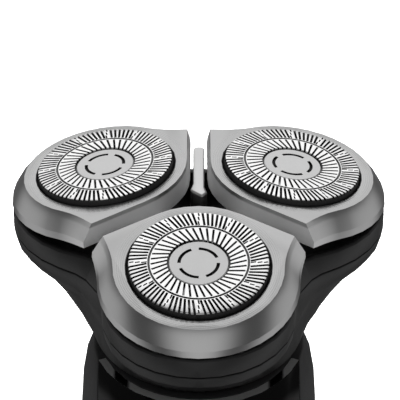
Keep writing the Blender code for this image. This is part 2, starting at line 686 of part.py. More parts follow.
def make_pinion(gear_low):
    """The central gear, its shaft and the cup that takes the motor shaft's ball."""
    mesh = plate_mesh("drive_pinion", [gear_outline(PINION_TEETH)], gear_low, GEAR_TOP)
    part = add_object("drive_pinion", mesh, BRASS, head)
    top = FLOOR_TOP - 0.3 * MM
    combine(part, rod_mesh("pinion_axle", AXLE_R, (0.0, 0.0, gear_low), (0.0, 0.0, top), 16), "UNION")
    cup_top = -BALL_DEPTH + BALL_R + GAP + 1.0 * MM
    low = (0.0, 0.0, cup_top - 0.5 * MM)
    combine(part, rod_mesh("pinion_shaft", PINION_SHAFT_R, low, (0.0, 0.0, GEAR_TOP - 0.2 * MM), 20), "UNION")
    cup_low = -BALL_DEPTH - 1.5 * MM
    combine(part, rod_mesh("pinion_cup", CUP_R, (0.0, 0.0, cup_low), (0.0, 0.0, cup_top), 24), "UNION")
    bore_top = -BALL_DEPTH + BALL_R + GAP
    bore = rod_mesh("cup_bore", BALL_R + GAP, (0.0, 0.0, cup_low - 1.0 * MM), (0.0, 0.0, bore_top), 24)
    combine(part, bore, "DIFFERENCE")
    bush_top = TRAY_TOP - FLOOR_T - GAP
    bush = ring_profile(PINION_SHAFT_R + 0.2 * MM, BUSH_R, bush_top, bush_top - BUSH_L)
    turned("pinion_bush", bush, BRASS, 16, head, closed=True)


# ---------------------------------------------------------------- neck and handle

def make_neck_collar():
    flange_top = NECK - GAP
    flange_low = flange_top - COLLAR_FLANGE
    hole = 4.2 * MM
    boss = 8.4 * MM
    body = 12.0 * MM
    boss_top = NECK + 1.0 * MM
    body_low = flange_low - 1.5 * MM
    profile = [
        (hole, boss_top), (boss, boss_top), (boss, flange_top), (COLLAR_R, flange_top),
        (COLLAR_R, flange_low), (body, flange_low), (body, body_low), (hole, body_low),
    ]
    turned("neck_collar", profile, DARK_PLASTIC, 28, head, closed=True)


NECK_CENTRE = BALL_HEIGHT + (BALL_DEPTH + NECK - 2 * GAP - COLLAR_FLANGE) / math.cos(HEAD_TILT)
HANDLE = [                         # height, half width, half depth, squareness, slope to the neck
    (BASE_T + GAP, 18.5 * MM, 16.0 * MM, 2.5, 0.0),
    (8.0 * MM, 18.9 * MM, 16.6 * MM, 2.5, 0.0),
    (30.0 * MM, 19.7 * MM, 17.5 * MM, 2.5, 0.0),
    (60.0 * MM, 20.3 * MM, 18.0 * MM, 2.5, 0.0),
    (88.0 * MM, 20.2 * MM, 17.7 * MM, 2.5, 0.0),
    (100.0 * MM, 20.1 * MM, 17.3 * MM, 2.45, 0.07),
    (NECK_CENTRE - 12.0 * MM, 19.9 * MM, 17.0 * MM, 2.4, 0.2),
    (NECK_CENTRE - 6.0 * MM, 19.6 * MM, 16.7 * MM, 2.25, 0.37),
    (NECK_CENTRE - 2.5 * MM, 19.0 * MM, 16.2 * MM, 2.1, 0.48),
    (NECK_CENTRE, 17.8 * MM, 17.8 * MM * math.cos(HEAD_TILT), 2.0, NECK_SLOPE),
]
FRONT_STEPS = 13
SIDE_STEPS = 21


def handle_size(height):
    """Half width, half depth, squareness and slope of the handle at a height."""
    for lower, upper in zip(HANDLE, HANDLE[1:]):
        if lower[0] <= height <= upper[0]:
            share = (height - lower[0]) / (upper[0] - lower[0])
            return [a + (b - a) * share for a, b in zip(lower[1:], upper[1:])]
    return list(HANDLE[0][1:])


def front_limit(size):
    """Half the angle that the front panel covers, as the outline's own parameter."""
    width, depth, power, slope = size
    return math.asin((PANEL_HALF / width) ** (power / 2))


def outline_point(size, angle, inset, height):
    width, depth, power, slope = size
    cosine, sine = math.cos(angle), math.sin(angle)
    x = math.copysign(abs(cosine) ** (2 / power), cosine) * (width - inset)
    y = math.copysign(abs(sine) ** (2 / power), sine) * (depth - inset)
    return (x, y, height + slope * y)


def spread(start, end, count):
    return [start + (end - start) * i / (count - 1) for i in range(count)]


def section_angles(size, margin):
    """Angles of the panel's stretch, widened by a margin, then of the rest of the outline."""
    limit = front_limit(size) + margin / size[0]
    front = spread(-math.pi / 2 - limit, -math.pi / 2 + limit, FRONT_STEPS)
    rest = spread(-math.pi / 2 + limit, 1.5 * math.pi - limit, SIDE_STEPS)
    return front, rest


def shell_ring(station, inset, front_inset, margin=0.0):
    height, *size = station
    front, rest = section_angles(size, margin)
    ring = [outline_point(size, angle, front_inset, height) for angle in front]
    return ring + [outline_point(size, angle, inset, height) for angle in rest]


def arc_strip(name, stations, half_angle, middle, outer, inner, steps=FRONT_STEPS):
    """A curved plate on the handle's surface between two insets."""
    rings = []
    for height, *size in stations:
        limit = half_angle(size)
        angles = spread(middle - limit, middle + limit, steps)
        near = [outline_point(size, angle, outer, height) for angle in angles]
        far = [outline_point(size, angle, inner, height) for angle in reversed(angles)]
        rings.append(near + far)
    return loft_mesh(name, rings)


def make_shell():
    recess = PANEL_T + GAP
    outer = [shell_ring(s, 0.0, recess) for s in HANDLE]
    inner = [shell_ring(s, SHELL_WALL, recess + 1.4 * MM, 1.4 * MM) for s in reversed(HANDLE)]
    part = add_object("handle_shell", loft_mesh("handle_shell", outer + inner, joined=True),
                      MATTE_PLASTIC, handle)
    stem = rod_mesh("stem_hole", STEM_R + GAP, (0.0, -20 * MM, BUTTON_HEIGHT), (0.0, -10 * MM, BUTTON_HEIGHT))
    combine(part, stem, "DIFFERENCE")
    grip = grip_mesh("grip_recess", -1.0 * MM, 0.8 * MM + GAP, GAP)
    combine(part, grip, "DIFFERENCE")


def grip_mesh(name, outer, inner, margin):
    low = GRIP_LOW - margin
    high = GRIP_HIGH + margin
    heights = [low] + [s[0] for s in HANDLE if low < s[0] < high] + [high]
    stations = [(height, *handle_size(height)) for height in heights]
    limit = GRIP_ARC + margin / (17 * MM)
    return arc_strip(name, stations, lambda size: limit, math.pi / 2, outer, inner, 9)


def make_panel():
    def limit(size):
        return front_limit(size) - GAP / size[0]

    mesh = arc_strip("front_panel", HANDLE, limit, -math.pi / 2, 0.0, PANEL_T)
    part = add_object("front_panel", mesh, GLOSS_PLASTIC, handle)
    hole = rod_mesh("ring_hole", RING_R + GAP, (0.0, -22 * MM, BUTTON_HEIGHT),
                    (0.0, -10 * MM, BUTTON_HEIGHT), 32)
    combine(part, hole, "DIFFERENCE")
    combine(part, lens_mesh("lens_hole", LENS_HALF + GAP, -22 * MM, -10 * MM), "DIFFERENCE")


def lens_mesh(name, radius, front, back):
    """A round-ended bar through the panel, upright on the front."""
    upper = circle(radius, 9, (0.0, LENS_RUN), 0.0, 180.0)
    lower = circle(radius, 9, (0.0, -LENS_RUN), 180.0, 360.0)
    mesh = plate_mesh(name, [upper + lower], front, back)
    mesh.transform(Matrix.Translation((0.0, 0.0, LENS_HEIGHT)) @ Matrix.Rotation(math.pi / 2, 4, "X")
                   @ Matrix.Scale(-1.0, 4, (0.0, 0.0, 1.0)))
    mesh.flip_normals()
    return mesh


def make_button():
    depth = handle_size(BUTTON_HEIGHT)[1]
    face = -depth - 0.5 * MM
    turn = Matrix.Rotation(math.pi / 2, 4, "X")
    profile = [(0.0, 0.0), (BUTTON_R - 0.8 * MM, -0.05 * MM), (BUTTON_R - 0.2 * MM, -0.2 * MM),
               (BUTTON_R, -0.5 * MM), (BUTTON_R, -BUTTON_T), (STEM_R, -BUTTON_T),
               (STEM_R, -BUTTON_T - 2.0 * MM), (0.0, -BUTTON_T - 2.0 * MM)]
    place = (0.0, face, BUTTON_HEIGHT)
    button = turned("power_button", profile, GLOSS_PLASTIC, 24, handle, place)
    button.rotation_euler = turn.to_euler()
    low = face + depth - PANEL_T
    ring = turned("button_ring", ring_profile(BUTTON_R + GAP, RING_R, 0.2 * MM, low), CHROME, 28, handle,
                  place, closed=True)
    ring.rotation_euler = turn.to_euler()
    lens_depth = handle_size(LENS_HEIGHT)[1]
    lens = lens_mesh("indicator_lens", LENS_HALF, -lens_depth - 0.05 * MM, -lens_depth + PANEL_T)
    add_object("indicator_lens", lens, LENS, handle)
    grip = grip_mesh("rear_grip", -0.4 * MM, 0.8 * MM, 0.0)
    add_object("rear_grip", grip, RUBBER, handle)


def cap_ring(height, inset):
    size = HANDLE[0][1:]
    angles = spread(0.0, math.tau, 33)[:-1]
    return [outline_point(size, angle, inset, height) for angle in angles]


def make_base_cap():
    plug = SHELL_WALL + PANEL_T + 2 * GAP
    rings = [cap_ring(0.0, 1.4 * MM), cap_ring(0.5 * MM, 0.4 * MM), cap_ring(1.3 * MM, 0.0),
             cap_ring(BASE_T, 0.0), cap_ring(BASE_T, plug), cap_ring(PLUG_TOP, plug)]
    part = add_object("base_cap", loft_mesh("base_cap", rings), MATTE_PLASTIC, handle)
    half = SOCKET_SIZE / 2
    low = (-half.x - GAP, SOCKET_Y - half.y - GAP, -1 * MM)
    high = (half.x + GAP, SOCKET_Y + half.y + GAP, PLUG_TOP + 1 * MM)
    combine(part, box_mesh("socket_bay", low, high), "DIFFERENCE")
    for side, x in (("left", -SCREW_X), ("right", SCREW_X)):
        head_hole = rod_mesh("screw_head_hole_" + side, SCREW_HEAD_R + GAP, (x, 0.0, -1 * MM),
                             (x, 0.0, SCREW_SEAT + GAP))
        combine(part, head_hole, "DIFFERENCE")
        shaft_hole = rod_mesh("screw_hole_" + side, SCREW_R + GAP, (x, 0.0, 1 * MM),
                              (x, 0.0, PLUG_TOP + 1 * MM))
        combine(part, shaft_hole, "DIFFERENCE")
        top = PLUG_TOP + 2.4 * MM
        profile = [(0.0, top), (SCREW_R, top - 0.8 * MM), (SCREW_R, SCREW_SEAT), (SCREW_HEAD_R, SCREW_SEAT),
                   (SCREW_HEAD_R, 0.7 * MM), (SCREW_HEAD_R - 0.4 * MM, 0.4 * MM), (0.0, 0.4 * MM)]
        turned("base_screw_" + side, profile, CHROME, 20, handle, (x, 0.0, 0.0))


def make_socket():
    """A small flat charging inlet in the base, with its contact tongue."""
    half = SOCKET_SIZE / 2
    low = GAP
    mesh = box_mesh("charging_socket", (-half.x, SOCKET_Y - half.y, low),
                    (half.x, SOCKET_Y + half.y, low + SOCKET_SIZE.z))
    part = add_object("charging_socket", mesh, CHROME, handle)
    slot = SLOT_SIZE / 2
    cut = box_mesh("socket_slot", (-slot.x, SOCKET_Y - slot.y, -1 * MM),
                   (slot.x, SOCKET_Y + slot.y, low + SLOT_SIZE.z))
    combine(part, cut, "DIFFERENCE")
    tongue = box_mesh("contact_tongue", (-3.3 * MM, SOCKET_Y - 0.35 * MM, 1.4 * MM),
                      (3.3 * MM, SOCKET_Y + 0.35 * MM, low + SLOT_SIZE.z - GAP))
    add_object("contact_tongue", tongue, BRASS, handle)


# ---------------------------------------------------------------- inside the handle

def make_chassis():
    """A comb-shaped carrier: a spine with shelves under the cell, under and over the motor."""
    front = -10.6 * MM
    top_front = -8.4 * MM
    back = SPINE_Y + CHASSIS_T
    top = MOTOR_HIGH + 2 * GAP + CHASSIS_T
    outline = [(back, top), (back, PLUG_TOP + 1.0 * MM), (front, PLUG_TOP + 1.0 * MM)]
    shelves = [BATTERY_LOW - GAP, MOTOR_LOW - 2.6 * MM - GAP, top]
    lower = BATTERY_LOW + BATTERY_L + GAP
    levels = [(shelves[0], lower), (lower + CHASSIS_T, shelves[1] - CHASSIS_T), (shelves[1], top - CHASSIS_T)]
    for start, end in levels:
        reach = top_front if end == top - CHASSIS_T else front
        outline += [(front, start), (SPINE_Y, start), (SPINE_Y, end), (reach, end)]
    outline.append((top_front, top))
    mesh = plate_mesh("chassis", [outline], -CHASSIS_HALF, CHASSIS_HALF)
    mesh.transform(Matrix.Rotation(math.pi / 2, 4, "Y") @ Matrix.Rotation(math.pi / 2, 4, "Z"))
    part = add_object("chassis", mesh, GREY_PLASTIC, handle)
    hole = rod_mesh("seal_seat", SEAL_R + GAP, (0.0, 0.0, top - 3 * MM), (0.0, 0.0, top + 2 * MM), 24)
    combine(part, hole, "DIFFERENCE")
    seal = ring_profile(SHAFT_R + 0.2 * MM, SEAL_R, top + 0.6 * MM, MOTOR_HIGH + GAP)
    turned("shaft_seal", seal, RUBBER, 16, handle, closed=True)


def make_motor():
    wall = 0.8 * MM
    hole = SHAFT_R + GAP
    can = [(hole, MOTOR_HIGH), (MOTOR_R - 0.6 * MM, MOTOR_HIGH), (MOTOR_R, MOTOR_HIGH - 0.6 * MM),
           (MOTOR_R, MOTOR_LOW), (MOTOR_R - wall, MOTOR_LOW), (MOTOR_R - wall, MOTOR_HIGH - wall),
           (hole, MOTOR_HIGH - wall)]
    turned("motor_can", can, CHROME, 20, handle, closed=True)
    cap = [(hole, MOTOR_LOW + 1.2 * MM), (MOTOR_R - wall - GAP, MOTOR_LOW + 1.2 * MM),
           (MOTOR_R - wall - GAP, MOTOR_LOW - GAP), (MOTOR_R, MOTOR_LOW - GAP), (MOTOR_R, MOTOR_LOW - 1.2 * MM),
           (hole, MOTOR_LOW - 1.2 * MM)]
    turned("motor_end_cap", cap, WHITE_PLASTIC, 16, handle, closed=True)
    for side, start in (("left", 110.0), ("right", -70.0)):
        outer = circle(MOTOR_R - wall - GAP, 13, start=start, end=start + 140.0)
        inner = circle(ROTOR_R + 0.5 * MM, 13, start=start + 140.0, end=start)
        magnet = plate_mesh("magnet_" + side, [outer + inner], MOTOR_LOW + 4 * MM, MOTOR_HIGH - 4 * MM)
        add_object("motor_magnet_" + side, magnet, MATTE_PLASTIC, handle)
    arc = circle(BALL_R, 7, (0.0, BALL_HEIGHT), 90.0, -62.0)
    low = MOTOR_LOW - 0.9 * MM
    profile = arc + [(SHAFT_R, MOTOR_HIGH - 6 * MM), (SHAFT_R, low), (0.0, low)]
    profile[0] = (0.0, BALL_HEIGHT + BALL_R)
    turned("motor_shaft", profile, BLADE_STEEL, 16, handle)
    rotor = ring_profile(SHAFT_R + 0.1 * MM, ROTOR_R, MOTOR_HIGH - 5 * MM, MOTOR_LOW + 5 * MM)
    turned("motor_rotor", rotor, COPPER, 16, handle, closed=True)


def make_electrics():
    top = BATTERY_LOW + BATTERY_L - 1.5 * MM
    cell = [(0.0, top), (BATTERY_R - 0.4 * MM, top), (BATTERY_R, top - 0.4 * MM),
            (BATTERY_R, BATTERY_LOW + 0.4 * MM), (BATTERY_R - 0.4 * MM, BATTERY_LOW), (0.0, BATTERY_LOW)]
    turned("battery_cell", cell, CELL_WRAP, 20, handle, (0.0, BATTERY_Y, 0.0))
    tip = [(0.0, top + 1.2 * MM), (2.4 * MM, top + 1.2 * MM), (2.4 * MM, top + GAP), (0.0, top + GAP)]
    turned("battery_terminal", tip, CHROME, 20, handle, (0.0, BATTERY_Y, 0.0))
    half = BOARD_T / 2
    board = box_mesh("circuit_board", (-BOARD_HALF, BOARD_Y - half, 20 * MM),
                     (BOARD_HALF, BOARD_Y + half, BUTTON_HEIGHT + 8 * MM))
    add_object("circuit_board", board, BOARD_GREEN, handle)
    front = BOARD_Y - half - GAP
    switch = box_mesh("button_switch", (-2.2 * MM, front - 0.7 * MM, BUTTON_HEIGHT - 2.2 * MM),
                      (2.2 * MM, front, BUTTON_HEIGHT + 2.2 * MM))
    add_object("button_switch", switch, MATTE_PLASTIC, handle)
    light = box_mesh("indicator_led", (-0.8 * MM, front - 0.6 * MM, LENS_HEIGHT - 0.6 * MM),
                     (0.8 * MM, front, LENS_HEIGHT + 0.6 * MM))
    add_object("indicator_led", light, WHITE_PLASTIC, handle)


make_cutter_units()
make_head_frame()
make_ribs()
make_head_base()
make_gear_plates()
make_gears()
make_neck_collar()
make_shell()
make_panel()
make_button()
make_base_cap()
make_socket()
make_chassis()
make_motor()
make_electrics()
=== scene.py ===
# %% [markdown]
# # Rotary electric shaver
# A three-headed rotary shaver stands upright on its base. Its metal petals, slotted guards, dark head
# housing and glossy front are dressed here over a fixed engineering frame, which gives every size and
# place. The frame comes in first, and nothing in it is moved.

# %% Load the frame
import json
import math

import bmesh
import bpy
from mathutils import Matrix, Vector

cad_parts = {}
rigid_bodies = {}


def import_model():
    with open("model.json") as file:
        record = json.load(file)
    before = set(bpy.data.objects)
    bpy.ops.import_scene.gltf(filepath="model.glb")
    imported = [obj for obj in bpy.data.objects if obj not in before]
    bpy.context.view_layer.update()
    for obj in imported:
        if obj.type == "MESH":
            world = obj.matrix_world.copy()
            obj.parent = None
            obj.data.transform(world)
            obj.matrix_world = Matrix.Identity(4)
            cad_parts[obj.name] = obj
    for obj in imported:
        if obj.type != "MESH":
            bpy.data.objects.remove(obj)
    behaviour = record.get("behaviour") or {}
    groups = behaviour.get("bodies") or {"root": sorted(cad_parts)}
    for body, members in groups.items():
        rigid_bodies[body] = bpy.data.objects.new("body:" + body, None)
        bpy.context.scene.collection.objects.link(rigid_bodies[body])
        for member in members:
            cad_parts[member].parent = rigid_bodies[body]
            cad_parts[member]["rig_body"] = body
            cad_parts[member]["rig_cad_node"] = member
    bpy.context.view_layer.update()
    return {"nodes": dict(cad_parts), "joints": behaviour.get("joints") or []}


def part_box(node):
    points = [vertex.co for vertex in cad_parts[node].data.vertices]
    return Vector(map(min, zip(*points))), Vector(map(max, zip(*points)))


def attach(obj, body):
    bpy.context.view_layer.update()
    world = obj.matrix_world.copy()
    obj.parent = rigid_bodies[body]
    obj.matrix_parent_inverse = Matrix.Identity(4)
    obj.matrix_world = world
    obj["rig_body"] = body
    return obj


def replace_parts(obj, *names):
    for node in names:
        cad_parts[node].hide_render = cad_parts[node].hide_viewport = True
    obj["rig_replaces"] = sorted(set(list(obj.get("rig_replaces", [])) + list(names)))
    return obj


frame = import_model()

MM = 0.001

# %% [markdown]
# ## Places
# Each cutting unit leans outward on its petal, so its guard, its turning marks and its slots all follow
# one slanted axis. A matrix per unit holds that axis: its origin is the middle of the guard's top, its
# Z is the cutter's axis and its Y points outward from the middle of the head. The axis comes from the
# joint that spins the cutter, and the height from the guard's own highest point along it.

# %% Find the three guard seats
SIDES = ("front", "right", "left")
joints = {joint["name"]: joint for joint in frame["joints"]}
head_axis = Vector(joints["pinion_spin"]["axis"]).normalized()
head_point = Vector(joints["pinion_spin"]["pos_m"])


def along(node, point, axis):
    """Lowest and highest reach of a node along an axis."""
    reach = [(vertex.co - point).dot(axis) for vertex in frame["nodes"][node].data.vertices]
    return min(reach), max(reach)


def guard_seat(side):
    joint = joints["cutter_spin_" + side]
    axis = Vector(joint["axis"]).normalized()
    point = Vector(joint["pos_m"])
    top = point + axis * along("guard_" + side, point, axis)[1]
    outward = top - head_point
    outward = (outward - outward.dot(head_axis) * head_axis).normalized()
    outward = (outward - outward.dot(axis) * axis).normalized()
    seat = Matrix((outward.cross(axis), outward, axis)).transposed().to_4x4()
    seat.translation = top
    return seat


seats = {side: guard_seat(side) for side in SIDES}
for side, seat in seats.items():
    print(side, "guard top", [round(value / MM, 2) for value in seat.translation])

# %% [markdown]
# ## Working by selection
# Most modelling operators act on whatever is selected, and the frame arrives selected. So one helper
# clears the selection and picks the pieces that matter, and another picks faces by a rule.

# %% Selection helpers


def only(*pieces):
    """Selects these pieces alone and makes the first one active."""
    bpy.ops.object.select_all(action="DESELECT")
    for piece in pieces:
        piece.select_set(True)
    bpy.context.view_layer.objects.active = pieces[0]
    return pieces[0]


def edit(piece, choose=None):
    """Opens a piece in edit mode with the faces selected that a rule chooses, or all of them."""
    only(piece)
    bpy.ops.object.mode_set(mode="EDIT")
    bpy.ops.mesh.select_mode(type="FACE")
    bpy.ops.mesh.select_all(action="DESELECT" if choose else "SELECT")
    if choose:
        shape = bmesh.from_edit_mesh(piece.data)
        for face in shape.faces:
            if choose(face):
                face.select_set(True)
        bmesh.update_edit_mesh(piece.data)


def close():
    bpy.ops.object.mode_set(mode="OBJECT")


def apply(piece, kind, **settings):
    """Adds a modifier with its settings and applies it at once."""
    only(piece)
    modifier = piece.modifiers.new(kind.lower(), kind)
    for name, value in settings.items():
        setattr(modifier, name, value)
    bpy.ops.object.modifier_apply(modifier=modifier.name)
    return piece


def smooth(piece, angle=30.0):
    only(piece)
    bpy.ops.object.shade_smooth_by_angle(angle=math.radians(angle))
    return piece


# %% [markdown]
# ## Shader maths
# A finish is a small program of nodes. Written node by node it is hard to read, so a class wraps a
# socket, and sums and products on it add Math nodes. Any other node comes from one method, which takes
# the kind of node, its settings and its inputs.

# %% Shader helpers


class Signal:
    """One value in a material. Arithmetic on it adds Math nodes."""

    def __init__(self, tree, socket=None):
        self.tree = tree
        self.socket = socket

    def node(self, kind, settings=None, inputs=None, output=0):
        """Adds a node with its settings, fills or links its inputs and returns one of its outputs."""
        made = self.tree.nodes.new("ShaderNode" + kind)
        for name, value in (settings or {}).items():
            setattr(made, name, value)
        for key, value in (inputs or {}).items():
            if isinstance(value, Signal):
                self.tree.links.new(value.socket, made.inputs[key])
            else:
                made.inputs[key].default_value = value
        return Signal(self.tree, made.outputs[output])

    def maths(self, operation, *values):
        return self.node("Math", {"operation": operation}, dict(enumerate(values)))

    def __add__(self, other):
        return self.maths("ADD", self, other)

    def __sub__(self, other):
        return self.maths("SUBTRACT", self, other)

    def __rsub__(self, other):
        return self.maths("SUBTRACT", other, self)

    def __mul__(self, other):
        return self.maths("MULTIPLY", self, other)

    def __pow__(self, other):
        return self.maths("POWER", self, other)

    __radd__ = __add__
    __rmul__ = __mul__

    def sine(self):
        return self.maths("SINE", self)

    def step(self, low, high):
        """0 below low, 1 above high and smooth in between."""
        ramp = {"interpolation_type": "SMOOTHSTEP"}
        return self.node("MapRange", ramp, {"Value": self, "From Min": low, "From Max": high})


# The Mix node keeps its colour inputs and its colour output at these places.
MIX_LOW, MIX_HIGH, MIX_RESULT = 6, 7, 2


class Finish:
    """A material with one Principled shader. Constants are set on the shader's own sockets."""

    def __init__(self, name, **constants):
        self.material = bpy.data.materials.new(name)
        self.material.use_nodes = True
        self.tree = self.material.node_tree
        self.shader = self.tree.nodes["Principled BSDF"]
        self.paint = Signal(self.tree)
        self.place = self.paint.node("TexCoord", output="Object")
        for name, value in constants.items():
            self.shader.inputs[name.replace("_", " ")].default_value = value

    def feed(self, socket, signal):
        self.tree.links.new(signal.socket, self.shader.inputs[socket])

    def noise(self, size, detail=2.0, roughness=0.5):
        """Noise from 0 to 1 whose grains are about a size across."""
        inputs = {"Vector": self.place, "Scale": 1.0 / size, "Detail": detail, "Roughness": roughness}
        return self.paint.node("TexNoise", None, inputs, "Fac")

    def mix(self, factor, low, high):
        """A colour between two tones; a tone is a grey, a colour or another mix."""
        inputs = {"Factor": factor, MIX_LOW: colour(low), MIX_HIGH: colour(high)}
        return self.paint.node("Mix", {"data_type": "RGBA"}, inputs, MIX_RESULT)

    def bump(self, height, distance, strength=1.0):
        inputs = {"Height": height, "Distance": distance, "Strength": strength}
        self.feed("Normal", self.paint.node("Bump", None, inputs))

    def seated(self, seat):
        """The place across, outward and up in a guard seat's own axes, and the distance from its axis."""
        inputs = {"Vector": self.place, "Location": seat.translation, "Rotation": seat.to_euler()}
        local = self.paint.node("Mapping", {"vector_type": "TEXTURE"}, inputs)
        axes = [self.paint.node("SeparateXYZ", None, {"Vector": local}, output) for output in "XYZ"]
        radius = (axes[0] * axes[0] + axes[1] * axes[1]) ** 0.5
        return axes, radius


def colour(value):
    """A grey or a colour as four numbers. A mix is left as it is."""
    if isinstance(value, Signal):
        return value
    if isinstance(value, (int, float)):
        value = (value, value, value)
    return (*value, 1.0)


# %% [markdown]
# ## Metals
# The petals are satin stainless steel with fine concentric turning marks around each guard, a soft
# cloudiness and faint handling wear. The marks follow the guard's slanted axis, so each petal has its
# own copy of the finish with the pattern set on its seat. Painting rings in a texture would need an
# image; a sine of the distance from the axis gives the same marks at any closeness. The short flanks
# that face the next petal are rougher and are painted a much paler colour, painted light, so the
# narrow valleys that lie in shade don't go black.

# %% Petal steel


TURNING_PITCH = 0.34
TURNED_FROM, TURNED_TO = (11.4, 11.9), (13.2, 13.7)
FACE_LEVEL = (-1.4, -1.15)
FLANK_LEVEL = (-1.9, -1.5)
VALLEY_SIDE = (-5.0, 1.0)


def between(signal, reach):
    """0 below a reach in millimetres, 1 above it."""
    return signal.step(reach[0] * MM, reach[1] * MM)


def petal_steel(side):
    finish = Finish("petal_steel_" + side, Metallic=1.0, IOR=2.5)
    (_, outward, up), radius = finish.seated(seats[side])
    cloud = finish.noise(4.0 * MM, detail=3.0)
    grain = finish.noise(0.12 * MM, detail=1.0)
    wear = finish.noise(1.1 * MM, detail=4.0, roughness=0.7)
    marks = (radius * (math.tau / (TURNING_PITCH * MM))).sine()
    ringed = between(radius, TURNED_FROM) * (1.0 - between(radius, TURNED_TO))
    rings = marks * ringed * between(up, FACE_LEVEL)
    # Painted light: the flanks facing the next petal get a much paler colour so their shade doesn't go black;
    # they are also rougher.
    valley_painted_light = (1.0 - between(outward, VALLEY_SIDE)) * (1.0 - between(up, FLANK_LEVEL))
    tone = 0.5 + (cloud - 0.5) * 0.25 + (grain - 0.5) * 0.25 + rings * 0.22
    satin = finish.mix(tone, 0.42, 0.53)
    finish.feed("Base Color", finish.mix(valley_painted_light, satin, finish.mix(tone, 0.86, 0.96)))
    finish.feed("Roughness", 0.26 + cloud * 0.03 + wear * 0.02 - rings * 0.03 + valley_painted_light * 0.35)
    finish.bump(rings * 0.35 + grain * 0.25, 0.012 * MM)
    return finish.material


petal_steels = {side: petal_steel(side) for side in SIDES}
print("petal finishes:", [material.name for material in petal_steels.values()])

# %% [markdown]
# The guards are thinner, harder and more polished than the petals: their bars look almost white. Their
# centre discs are satin. One finish serves both, and the distance from the axis decides which it is.
# The walls inside the slots are near black, painted shade, so they have a finish of their own.

# %% Guard steel


DISC_EDGE = (4.86, 4.95)
BARS_FROM = (5.08, 5.16)
RIM_EDGE = (11.2, 11.3)
GROOVE_LEVEL = (-0.2, -0.04)
SLOT_LEVEL = (-0.45, -0.3)


def guard_steel(side):
    finish = Finish("guard_steel_" + side, Metallic=1.0, IOR=2.8)
    (_, _, up), radius = finish.seated(seats[side])
    disc = 1.0 - between(radius, DISC_EDGE)
    rim = between(radius, RIM_EDGE)
    # Painted shade: below the guard's top face (the groove, the pocket round the disc, the outer wall) the
    # steel is painted dark grey.
    groove = (1.0 - between(up, GROOVE_LEVEL)) * between(radius, BARS_FROM)
    shade_below_top = groove.maths("MAXIMUM", groove, (1.0 - between(up, SLOT_LEVEL)) * (1.0 - rim))
    grain = finish.noise(0.09 * MM, detail=1.0)
    cloud = finish.noise(2.2 * MM, detail=2.0)
    turning = (radius * (math.tau / (0.11 * MM))).sine()
    bar_tone = finish.mix(cloud, 0.88, 0.97)
    disc_tone = finish.mix(0.5 + (grain - 0.5) * 0.6 + (cloud - 0.5) * 0.4, 0.56, 0.68)
    finish.feed("Base Color", finish.mix(shade_below_top, finish.mix(disc, bar_tone, disc_tone), 0.1))
    finish.feed("Roughness", 0.2 + disc * 0.16 + cloud * 0.05 + shade_below_top * 0.12 + rim * 0.35)
    finish.bump(turning * 0.2 + grain * 0.3 * (0.3 + disc), 0.008 * MM)
    return finish.material


def slot_painted_shade():
    finish = Finish("slot_painted_shade", Metallic=0.6)
    # Painted shade: the slot walls are painted near black, with a faint mottle.
    shade_mottle = finish.noise(0.2 * MM, detail=3.0)
    finish.feed("Base Color", finish.mix(shade_mottle, 0.012, 0.05))
    finish.feed("Roughness", 0.5 + shade_mottle * 0.3)
    finish.bump(shade_mottle, 0.01 * MM)
    return finish.material


guard_steels = {side: guard_steel(side) for side in SIDES}
slot_steel = slot_painted_shade()
print("guard finishes:", [material.name for material in guard_steels.values()], slot_steel.name)

# %% [markdown]
# The other metals, plastics and rubbers differ in colour, gloss and the size of their grain. One
# function makes them: a fine grain for the moulded or machined skin, a broad cloud for slight changes
# of tone, and sparse rubbed patches that catch the light.

# %% Plain finishes


PLASTIC_IOR = 1.4


def skin(name, tone, roughness, metallic=0.0, grain=0.15, depth=0.01, spread=0.15, coat=0.0):
    """A finish: its tone, roughness and metal, its grain and bump depth in millimetres, spread and coat."""
    finish = Finish(name, Metallic=metallic)
    fine = finish.noise(grain * MM, detail=2.0)
    cloud = finish.noise(7.0 * MM, detail=2.0)
    rubbed = finish.noise(1.7 * MM, detail=4.0, roughness=0.65).step(0.58, 0.8)
    base = colour(tone)[:3]
    dark = [value * (1.0 - spread) for value in base]
    light = [min(1.0, value * (1.0 + spread)) for value in base]
    shade = 0.5 + (fine - 0.5) * 0.6 + (cloud - 0.5) * 0.5 + rubbed * 0.1
    finish.feed("Base Color", finish.mix(shade, dark, light))
    finish.feed("Roughness", roughness + (cloud - 0.5) * 0.06 - rubbed * roughness * 0.12)
    finish.bump(fine, depth * MM)
    if metallic < 1.0:
        finish.shader.inputs["IOR"].default_value = PLASTIC_IOR
    if coat:
        finish.shader.inputs["Coat Weight"].default_value = coat
        finish.shader.inputs["Coat Roughness"].default_value = 0.03
    return finish.material


